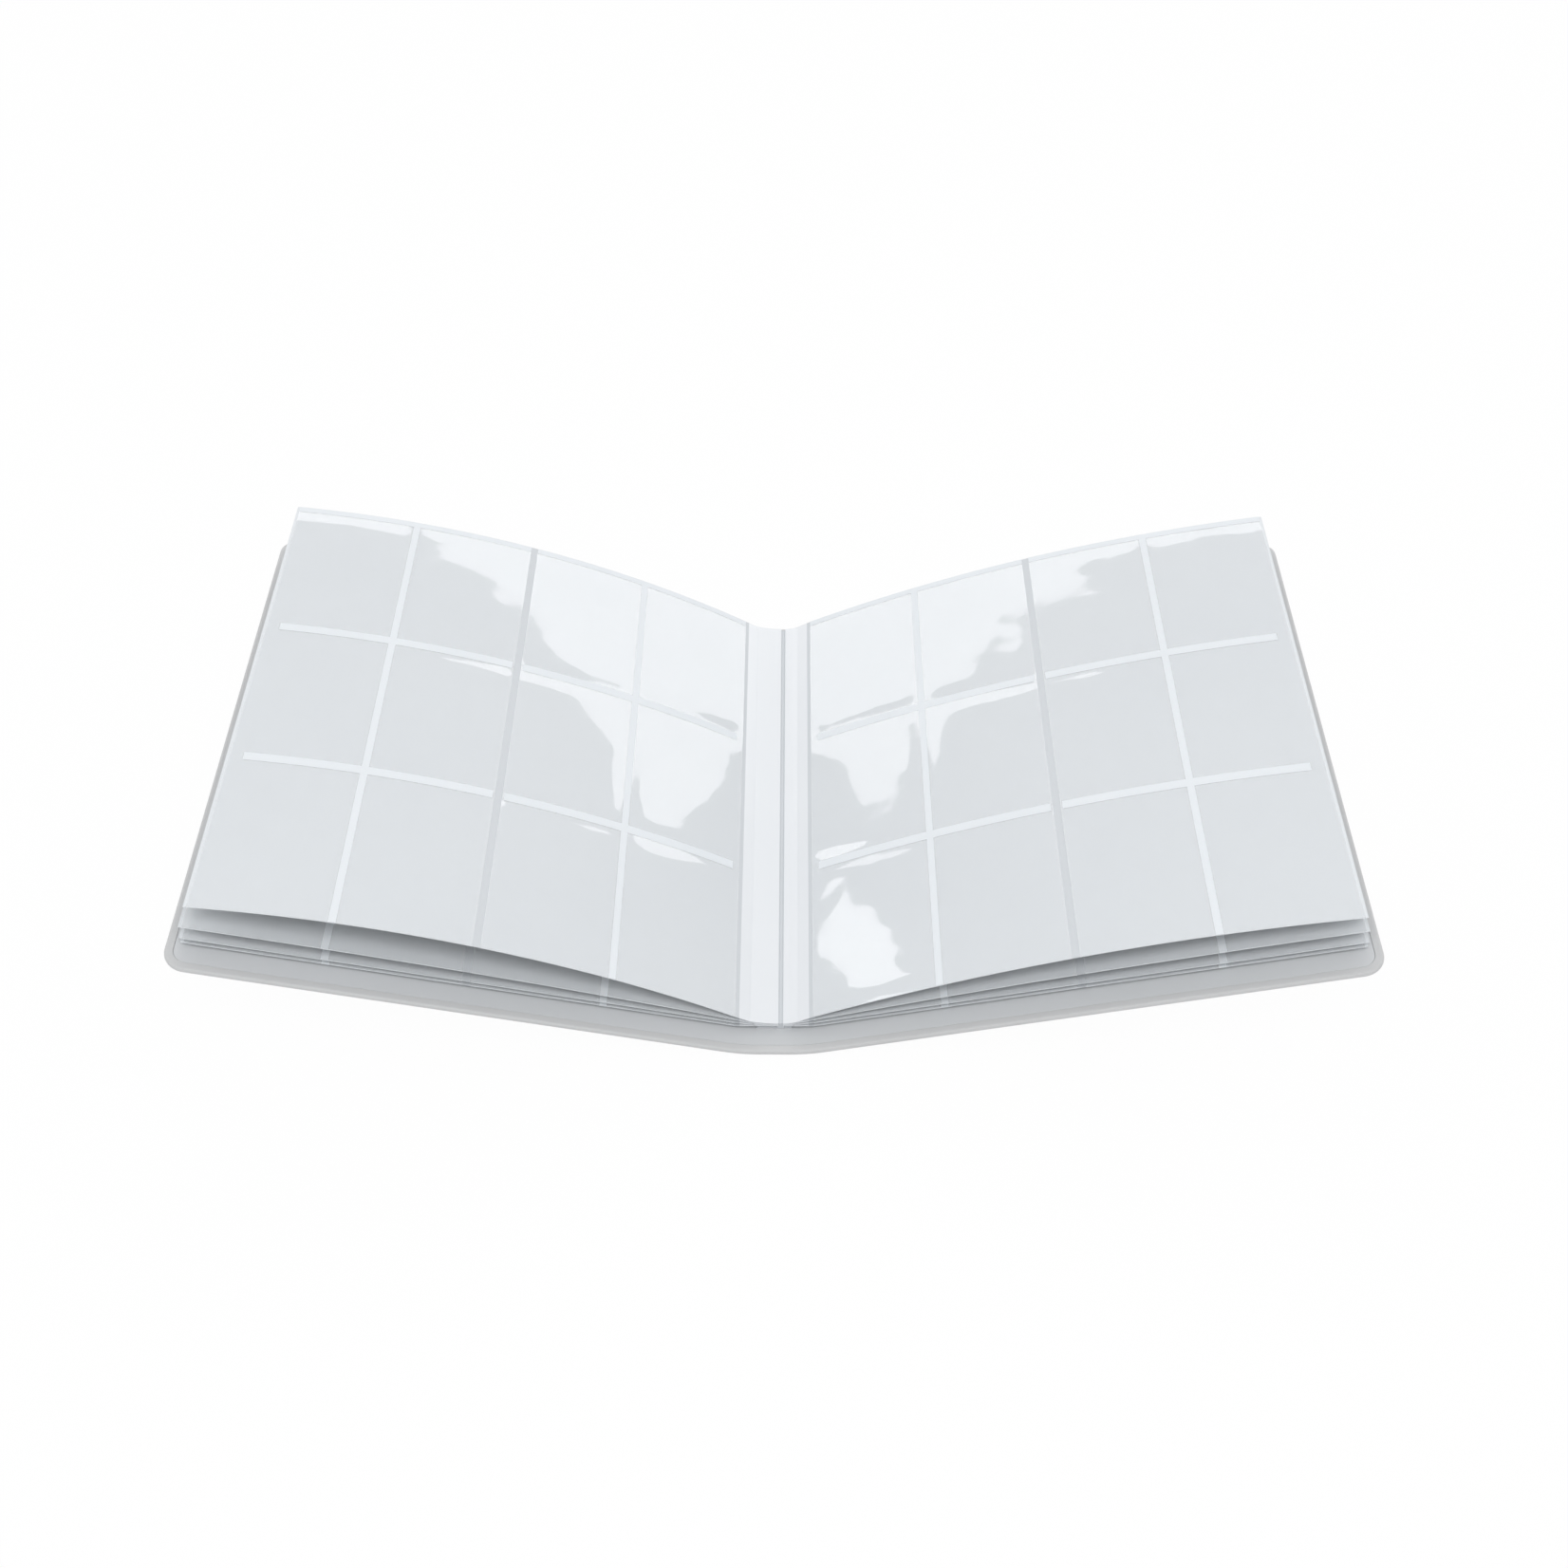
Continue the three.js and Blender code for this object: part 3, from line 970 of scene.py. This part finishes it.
@dataclass
class PocketLeaf:
    """One leaf: a white sheet with two pocket films on each face.

    Attributes:
        side: The half that it belongs to.
        count: Its number, from the top one.
        section: The line that it follows.
        grid: Its pockets.
        core: The sheet's thickness, in mm.
        film: A film's thickness.
        seat: The gap that a fused film keeps from the sheet.
        stand_off: How far a film stands off the sheet over a pocket.
        wave: How far the film waves up and down there.
        broad_wave: The size of its broad waves, across the leaf and along the spine.
        small_wave: The size of its small waves.
        wave_shares: How strong the broad and the small waves are.
        wave_seeds: What a leaf's number, its face and its half add to the waves' pattern.
        least_lift: The least that a film stands off over a pocket.
        mesh_step: The largest step of the film's mesh.
        sheet_step: The largest step of the sheet's mesh.
        bend_step: The step of the sheet's mesh where it bends.
        shaded_bare_margin: The width of sheet between the pressed margin and the film, where no
            film covers it; it gets the greyer finish, painted shade along the crease.
        underside: How much of the stand-off the films on the leaf's back keep.
    """

    side: Side
    count: int
    section: LeafSection
    grid: PocketGrid = field(default_factory=PocketGrid)
    core: float = 0.4
    film: float = 0.1
    seat: float = 0.1
    stand_off: float = 0.24
    wave: float = 0.13
    broad_wave: tuple[float, float] = (26.0, 32.0)
    small_wave: tuple[float, float] = (9.0, 11.0)
    wave_shares: tuple[float, float] = (1.5, 0.25)
    wave_seeds: tuple[float, float, float] = (7.3, 2.1, 4.7)
    least_lift: float = 0.05
    mesh_step: float = 5.0
    sheet_step: float = 5.0
    bend_step: float = 0.7
    shaded_bare_margin: float = 2.4
    underside: float = 1.0

    @property
    def body(self) -> str:
        """The name of the CAD body that it rides on."""
        return f"{self.side.value}_leaf_{self.count}"

    def place(self, flat: Vector) -> Vector:
        """Puts a point of the flat leaf on the open one.

        Args:
            flat: The distance from the gutter, the place along the spine and the height, in mm.

        Returns:
            The point's place, in mm.
        """
        x, z = self.section.point(flat.x, flat.z)
        return Vector((self.side.sign * x, flat.y, z))

    def waviness(self, along: float, y: float, face: Face, strip: Strip) -> float:
        """Returns how far the film waves at a place, from about -1 to 1."""
        of_leaf, of_face, of_side = self.wave_seeds
        shift = of_leaf * self.count + of_face * face.sign + of_side * self.side.sign
        seed = Vector((0, 0, shift))
        (wide, long), (short, low) = self.broad_wave, self.small_wave
        broad = noise.noise(Vector((along / wide, y / long, 0)) + seed)
        small = noise.noise(Vector((along / short, y / low, strip.index)) + 2 * seed)
        return self.wave_shares[0] * broad + self.wave_shares[1] * small

    def finish_at(self, along: float) -> SheetFinish:
        """Returns the finish of the white sheet at a distance from the gutter, in mm."""
        inner, middle = self.grid.open_edges(Strip.INNER)
        outer = self.grid.open_edges(Strip.OUTER)[0]
        if along < inner - self.shaded_bare_margin:
            return SheetFinish.PRESSED
        # Beside the pressed margin and in the break at the page's middle, the sheet gets painted
        # shade.
        if along < inner or middle < along < outer:
            return SheetFinish.SHADED_BARE
        return SheetFinish.UNDER_FILM

    def sheet(self, finishes: list[bpy.types.Material]) -> bpy.types.Object:
        """Builds the white sheet in the middle of the leaf.

        Args:
            finishes: Its finish under the films, on its pressed margin, and where no film covers
                it, which is painted shade.

        Returns:
            The sheet.
        """
        inner, middle = self.grid.open_edges(Strip.INNER)
        outer = self.grid.open_edges(Strip.OUTER)[0]
        bend = self.section.bend
        lines = {self.section.start, inner - self.shaded_bare_margin, inner, middle, outer}
        lines |= {self.section.reach, *filled_lines([-bend, bend], self.bend_step)}
        near = self.grid.near
        bm = blank_grid(filled_lines(lines, self.sheet_step), [near, near + self.grid.height])
        thicken(bm, -self.core / 2, self.core / 2)
        for face in bm.faces:
            face.material_index = self.finish_at(face.calc_center_median().x).value
        place_all(bm, self.place)
        return finished_piece(f"{self.body}_white_sheet", bm, finishes, SHEET_CREASE_DEG)

    def pocket_film(
        self, face: Face, strip: Strip, film: bpy.types.Material, fused: bpy.types.Material
    ) -> bpy.types.Object:
        """Builds one film with its two columns of pockets.

        Args:
            face: The face of the leaf.
            strip: Its place on that face.
            film: The finish of the free film.
            fused: The finish of the fused lines.

        Returns:
            The film.
        """
        grid = self.grid
        loose = 1.0 if face is Face.FRONT else self.underside
        bm = blank_grid(grid.columns(strip, self.mesh_step), grid.row_lines(self.mesh_step))
        thicken(bm, 0, self.film)
        for face_of_mesh in bm.faces:
            centre = face_of_mesh.calc_center_median()
            face_of_mesh.material_index = int(grid.is_fused(strip, centre.x, centre.y))

        def stand(flat: Vector) -> Vector:
            """Returns where a point of the flat film lies on the open leaf."""
            free = grid.rise(strip, flat.x, flat.y)
            wave = self.wave * self.waviness(flat.x, flat.y, face, strip)
            lift = self.seat + free * loose * max(self.least_lift, self.stand_off + wave)
            height = face.sign * (self.core / 2 + lift + flat.z)
            return self.place(Vector((flat.x, flat.y, height)))

        place_all(bm, stand)
        name = f"{self.body}_{face.value}_{strip.value}_pockets"
        return finished_piece(name, bm, [film, fused], SHEET_CREASE_DEG)

    def build(
        self, sheet: list[bpy.types.Material], film: bpy.types.Material, fused: bpy.types.Material
    ) -> None:
        """Builds the leaf's pieces and puts them on its body.

        Args:
            sheet: The finishes of the white sheet.
            film: The finish of the pocket films.
            fused: The finish of the fused lines.
        """
        core = self.sheet(sheet)
        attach(core, self.body)
        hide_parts(f"{self.body}_core_sheet")
        for face in Face:
            for strip in Strip:
                piece = self.pocket_film(face, strip, film, fused)
                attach(piece, self.body)
                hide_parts(f"{self.body}_{face.value}_{strip.value}_film")


@dataclass
class Gutter:
    """The welded folds of the leaves, which sag to a weld line between the two pages.

    Attributes:
        foot_half: Half the width of the foot on the lining, in mm.
        foot: The foot's thickness.
        weld_at: The X of the weld line, a little right of the middle.
        web_half: Half the width of the welded web.
        web_inset: How far the web stops short of the folds' ends.
        fold: The thickness of a fold.
        sag: How much lower each next fold from below lies at the web than at its crease.
        groove_half: Half the width of the groove along the weld line.
        groove_floor: Half the width of its floor.
        groove: Its depth.
        base: The top of the cover's lining.
        joint_gap: The gap between the top fold and its leaf.
        turning_gap: The same gap under the top leaf, with room for the leaf's end to turn.
        mesh_step: The largest step across a fold's mesh.
        length_step: The largest step along it.
    """

    foot_half: float = 9.0
    foot: float = 0.8
    weld_at: float = 3.4
    web_half: float = 1.7
    web_inset: float = 0.6
    fold: float = 0.5
    sag: float = 0.6
    groove_half: float = 1.5
    groove_floor: float = 0.5
    groove: float = 0.9
    base: float = 3.35
    joint_gap: float = 0.08
    turning_gap: float = 0.25
    mesh_step: float = 0.9
    length_step: float = 40.0

    def root_level(self, leaf: PocketLeaf, lowest: int) -> float:
        """Returns the height of a leaf's fold at the web."""
        return leaf.section.inner_level - self.sag * (lowest - leaf.count)

    def web(
        self, grid: PocketGrid, top: float, finishes: list[bpy.types.Material]
    ) -> bpy.types.Object:
        """Builds the web that the folds are welded to, with its foot and its groove.

        Args:
            grid: The pockets, which set the length.
            top: The height of the web's top.
            finishes: The finish of the web, of its foot and of the groove, which is painted
                shade.

        Returns:
            The web.
        """
        foot_top = self.base + self.foot
        flank = [
            (self.web_half, foot_top), (self.web_half, top - self.fold / 2),
            (self.groove_half, top), (self.groove_floor, top - self.groove),
        ]
        right = [(self.weld_at + x, z) for x, z in flank]
        left = [(self.weld_at - x, z) for x, z in reversed(flank)]
        feet = [(self.foot_half, self.base), (self.foot_half, foot_top)]
        ends = [(-x, z) for x, z in reversed(feet)]
        bm = bmesh.new()
        start = grid.near + self.web_inset
        ring = [bm.verts.new((x, start, z)) for x, z in [*feet, *right, *left, *ends]]
        end = bm.faces.new(ring)
        drawn = bmesh.ops.extrude_face_region(bm, geom=[end])["geom"]
        moved = [item for item in drawn if isinstance(item, bmesh.types.BMVert)]
        bmesh.ops.translate(bm, vec=(0, grid.height - 2 * self.web_inset, 0), verts=moved)
        bmesh.ops.triangulate(bm, faces=[face for face in bm.faces if len(face.verts) > 4])
        for face in bm.faces:
            centre = face.calc_center_median()
            if centre.z < foot_top:
                face.material_index = WebFinish.FOOT.value
            # The groove's faces get the greyer sheet finish: painted shade in the groove.
            elif abs(centre.x - self.weld_at) < self.groove_half and centre.z < top:
                face.material_index = WebFinish.SHADED_GROOVE.value
        place_all(bm, lambda flat: flat.copy())
        return finished_piece("gutter_weld", bm, finishes)

    def fold_strip(
        self, leaf: PocketLeaf, grid: PocketGrid, root: float, material: bpy.types.Material
    ) -> bpy.types.Object:
        """Builds the strip of a leaf's fold between the web and the leaf.

        Args:
            leaf: The leaf that the fold belongs to.
            grid: The pockets, which set the length.
            root: The fold's height at the web.
            material: Its finish.

        Returns:
            The strip.
        """
        start = self.root_x(leaf.side)
        gap = self.joint_gap if leaf.count == 1 else self.turning_gap
        end = leaf.side.sign * (leaf.section.inset - gap)
        rise = leaf.section.inner_level - root
        columns = filled_lines(sorted((start, end)), self.mesh_step)
        rows = filled_lines([grid.near, grid.near + grid.height], self.length_step)
        bm = blank_grid(columns, rows)
        thicken(bm, -self.fold / 2, self.fold / 2)

        def curved(flat: Vector) -> Vector:
            """Returns where a point of the flat strip lies on the sagging fold."""
            share = (flat.x - start) / (end - start)
            return Vector((flat.x, flat.y, root + rise * share * share + flat.z))

        place_all(bm, curved)
        return finished_piece(f"{leaf.body}_fold", bm, [material], SHEET_CREASE_DEG)

    def root_x(self, side: Side) -> float:
        """Returns the X at which the folds of one half leave the web."""
        return self.weld_at + side.sign * (self.groove_half - self.fold / 2)

    def build(
        self, leaves: list[PocketLeaf], grid: PocketGrid, finishes: list[bpy.types.Material]
    ) -> None:
        """Builds the web and the fold of each leaf.

        Args:
            leaves: All the leaves.
            grid: Their pockets.
            finishes: The finish of the folds, of the web's foot and of its groove, which is
                painted shade.
        """
        lowest = max(leaf.count for leaf in leaves)
        top = max(self.root_level(leaf, lowest) for leaf in leaves) + self.fold / 2
        web = self.web(grid, top, finishes)
        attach(web, "spine")
        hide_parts("welded_fold_rib")
        for leaf in leaves:
            root = self.root_level(leaf, lowest)
            strip = self.fold_strip(leaf, grid, root, finishes[WebFinish.FOLD.value])
            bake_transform(strip)


@dataclass
class LeafStack:
    """The four leaves of each half.

    Attributes:
        count: Leaves on each half.
        pitch: The height between two leaves at the gutter's edge, in mm.
        crease_pitch: The height between their inner ends.
        lowest_level: The height of the lowest leaf.
        lowest_inset: The X of its inner end.
        set_back: How much further out each next leaf starts.
        top_mesh_step: The largest step of the top leaf's films, which show their waves.
        pressed_underside: How much of their stand-off the lowest leaf's films keep underneath.
        slopes: The slopes of the leaves at the gutter and at the outer edge, from the top one.
    """

    count: int = 4
    pitch: float = 2.7
    crease_pitch: float = 1.3
    lowest_level: float = 6.9
    lowest_inset: float = 10.2
    set_back: float = 0.7
    top_mesh_step: float = 2.6
    pressed_underside: float = 0.15
    slopes: dict[Side, tuple[tuple[float, float], ...]] = field(
        default_factory=lambda: {
            Side.LEFT: ((31.6, 6.8), (18.4, 14.0), (15.1, 14.6), (14.8, 14.6)),
            Side.RIGHT: ((26.4, 9.6), (18.4, 14.0), (15.1, 14.6), (14.8, 14.6)),
        }
    )

    def leaves(self) -> list[PocketLeaf]:
        """Returns the leaves of both halves, from the top one."""
        made = []
        for side in Side:
            for count, (slope_in, slope_out) in enumerate(self.slopes[side], start=1):
                below = self.count - count
                section = LeafSection(
                    inset=self.lowest_inset + below * self.set_back,
                    inner_level=self.lowest_level + below * self.crease_pitch,
                    level=self.lowest_level + below * self.pitch,
                    slope_in=slope_in, slope_out=slope_out,
                )
                leaf = PocketLeaf(side, count, section)
                if count == 1:
                    leaf.mesh_step = self.top_mesh_step
                if count == self.count:
                    leaf.underside = self.pressed_underside
                made.append(leaf)
        return made

    def build(self, pressed: bpy.types.Material, shaded_bare: bpy.types.Material) -> list[PocketLeaf]:
        """Builds all the leaves.

        Args:
            pressed: The finish of the folds and of the margins beside them.
            shaded_bare: The finish of the sheet where no film covers it, a greyer copy that is
                painted shade.

        Returns:
            The leaves, for the gutter that holds them.
        """
        sheet = [CORE_SHEET.build(), pressed, shaded_bare]
        film = POCKET_FILM.build()
        fused = FUSED_LINE.build()
        made = self.leaves()
        for leaf in made:
            leaf.build(sheet, film, fused)
        return made


@dataclass
class Studio:
    """The pale floor, the soft light and the camera.

    Attributes:
        focal: The lens, in mm on a sensor 36 mm wide.
        clip: The nearest and the furthest that the camera sees, in m.
        place: The camera's place, in mm.
        tilt_deg: How far it is turned up from looking straight down.
        turn_deg: How far it is turned about the vertical.
        wall_y: How far behind the album the bright wall stands.
        wall_top: Its top.
        wall_panels: The left end, right end and foot of each of its panels. They leave an arch
            free, so that pages seen from a low angle don't mirror the wall.
        wall_light: Its brightness, where a white surface under plain light is 1.
        side_place: The middle of the small panel at its left.
        side_size: The width and height of that panel.
        side_light: Its brightness.
        level_deg: The tilt at which a panel shines level, towards the camera.
        box_place: The middle of the softbox, high over the camera.
        box_size: Its width and length.
        box_tilt_deg: How far it is turned up from shining straight down.
        box_light: Its brightness.
        fill: The brightness of the surroundings for the light that they give.
        white: The surroundings' colour.
        paper: The floor's colour.
        floor_half: Half the width of the floor, in m.
        floor_glow: How much of the floor looks plain white, and not like lit paper.
    """

    focal: float = 40.66
    clip: tuple[float, float] = (0.01, 50.0)
    place: tuple[float, float, float] = (7.406, -655.723, 773.118)
    tilt_deg: float = 41.54
    turn_deg: float = 0.259
    wall_y: float = 2100.0
    wall_top: float = 1800.0
    wall_panels: tuple[tuple[float, float, float], ...] = (
        (-1700.0, -1000.0, 900.0), (-1000.0, 1000.0, 1200.0), (1000.0, 1930.0, 700.0),
    )
    wall_light: float = 2.35
    side_place: tuple[float, float, float] = (-1830.0, 1760.0, 1830.0)
    side_size: tuple[float, float] = (290.0, 560.0)
    side_light: float = 3.1
    level_deg: float = -90.0
    box_place: tuple[float, float, float] = (0.0, -900.0, 1800.0)
    box_size: tuple[float, float] = (1500.0, 700.0)
    box_tilt_deg: float = 26.0
    box_light: float = 3.8
    fill: float = 0.66
    white: str = "#ffffff"
    paper: str = "#f4f4f4"
    floor_half: float = 20.0
    floor_glow: float = 0.97

    def camera(self) -> None:
        """Puts the camera where the photograph was taken from."""
        data = bpy.data.cameras.new("photo_camera")
        data.lens = self.focal
        data.clip_start, data.clip_end = self.clip
        camera = bpy.data.objects.new("photo_camera", data)
        camera.location = Vector(self.place) * MM
        camera.rotation_euler = (math.radians(self.tilt_deg), 0, math.radians(self.turn_deg))
        bpy.context.scene.collection.objects.link(camera)
        bpy.context.scene.camera = camera

    def panel(
        self, name: str, centre: tuple[float, float, float], size: tuple[float, float],
        light: float, tilt_deg: float,
    ) -> None:
        """Hangs a panel of light.

        Args:
            name: The lamp's name.
            centre: Its middle, in mm.
            size: Its width and height.
            light: Its brightness.
            tilt_deg: How far it is turned up from shining straight down, towards +Y.
        """
        data = bpy.data.lights.new(name, "AREA")
        data.shape = "RECTANGLE"
        data.size, data.size_y = (length * MM for length in size)
        data.energy = light * math.pi * data.size * data.size_y
        lamp = bpy.data.objects.new(name, data)
        lamp.location = Vector(centre) * MM
        lamp.rotation_euler = (math.radians(tilt_deg), 0, 0)
        bpy.context.scene.collection.objects.link(lamp)

    def lamps(self) -> None:
        """Hangs the wall's three panels, the small one at its left and the softbox."""
        for count, (left, right, foot) in enumerate(self.wall_panels, start=1):
            middle = ((left + right) / 2, self.wall_y, (foot + self.wall_top) / 2)
            size = (right - left, self.wall_top - foot)
            self.panel(f"bright_wall_{count}", middle, size, self.wall_light, self.level_deg)
        self.panel(
            "side_window", self.side_place, self.side_size, self.side_light, self.level_deg
        )
        self.panel("softbox", self.box_place, self.box_size, self.box_light, self.box_tilt_deg)

    def surroundings(self) -> None:
        """Makes the world white to look at and an even, plain light."""
        world = bpy.data.worlds.new("white_studio")
        bpy.context.scene.world = world
        world.use_nodes = True
        tree = world.node_tree
        tree.nodes.clear()
        strength = add_node(
            tree, "ShaderNodeMapRange",
            inputs={"Value": looked_at(tree), "To Min": self.fill, "To Max": 1.0},
        )
        background = add_node(
            tree, "ShaderNodeBackground",
            inputs={"Color": linear(self.white), "Strength": strength.outputs["Result"]},
        )
        add_node(tree, "ShaderNodeOutputWorld", inputs={"Surface": background.outputs[0]})

    def floor(self) -> None:
        """Lays a plain white floor that keeps a faint shadow of the album."""
        bm = bmesh.new()
        bmesh.ops.create_grid(bm, x_segments=1, y_segments=1, size=self.floor_half)
        material = bpy.data.materials.new("white_paper_floor")
        material.use_nodes = True
        tree = material.node_tree
        tree.nodes.clear()
        share = add_node(
            tree, "ShaderNodeMath", {"operation": "MULTIPLY"},
            {0: looked_at(tree), 1: self.floor_glow},
        )
        paper = add_node(tree, "ShaderNodeBsdfDiffuse", inputs={"Color": linear(self.paper)})
        white = add_node(tree, "ShaderNodeEmission", inputs={"Strength": 1.0})
        mixed = add_node(
            tree, "ShaderNodeMixShader",
            inputs={0: share.outputs[0], 1: paper.outputs[0], 2: white.outputs[0]},
        )
        add_node(tree, "ShaderNodeOutputMaterial", inputs={"Surface": mixed.outputs[0]})
        finished_piece("studio_floor", bm, [material])

    def build(self) -> None:
        """Sets up the camera, the floor and the light."""
        self.camera()
        self.floor()
        self.surroundings()
        self.lamps()
        bpy.context.scene.view_settings.view_transform = "Standard"


def main() -> None:
    """Builds the album's looks and the studio, then notes the sizes."""
    logging.basicConfig(level=logging.INFO, format="%(name)s: %(message)s")
    Studio().build()
    lining = COVER_LINING.build()
    pressed = PRESSED_FOLD.build()
    # The greyer sheet finish is painted shade, for the films' edges, the gutter's crease and the
    # groove.
    shaded_bare = SHADED_BARE_SHEET.build()
    SoftCover().build(lining)
    leaves = LeafStack().build(pressed, shaded_bare)
    Gutter().build(leaves, PocketGrid(), [pressed, lining, shaded_bare])


if __name__ == "__main__":
    main()
